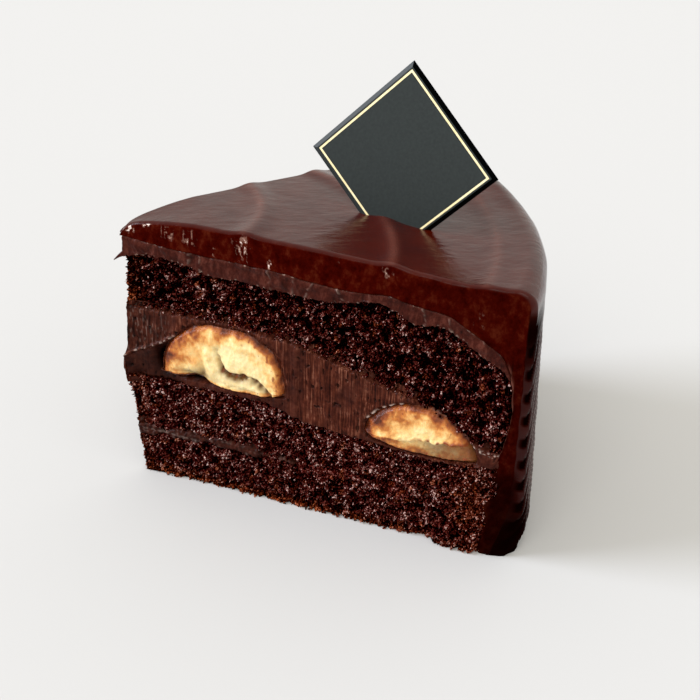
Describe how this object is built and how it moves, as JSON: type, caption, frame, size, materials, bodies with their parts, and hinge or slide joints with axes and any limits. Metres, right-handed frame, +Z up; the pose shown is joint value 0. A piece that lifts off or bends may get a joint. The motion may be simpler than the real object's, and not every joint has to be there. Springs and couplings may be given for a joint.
{
  "type": "slice of chocolate cake",
  "caption": "Wedge of chocolate banana layer cake with fudge filling, glossy ganache with a combed outer side, and a small square card standing in its top.",
  "frame": {"origin": "centre of the slice's bounding box on the surface that it stands on", "axes": "+X along the middle of the slice from its tip to its outer side, +Y towards the back cut, +Z up"},
  "size_m": [0.103, 0.0952, 0.1105],
  "materials": {
    "chocolate_sponge": "very dark brown open crumb, dull with small moist glints",
    "fudge": "satin dark brown with fine upright drag marks from the knife",
    "frosting": "soft matt brown with drag marks",
    "ganache": "glossy dark red brown with fine spatula ripples",
    "banana": "moist pale yellow, orange brown towards the rim",
    "card": "matt black card",
    "gold_line": "thin hot foil border, pale gold"
  },
  "bodies": {
    "root": {"sponge_bottom": "chocolate_sponge", "fudge_thin": "fudge", "sponge_middle": "chocolate_sponge", "fudge_filling": "fudge", "sponge_top": "chocolate_sponge", "frosting": "frosting", "ganache": "ganache", "banana_inner": "banana", "banana_outer": "banana", "card": "card"}
  },
  "joints": []
}
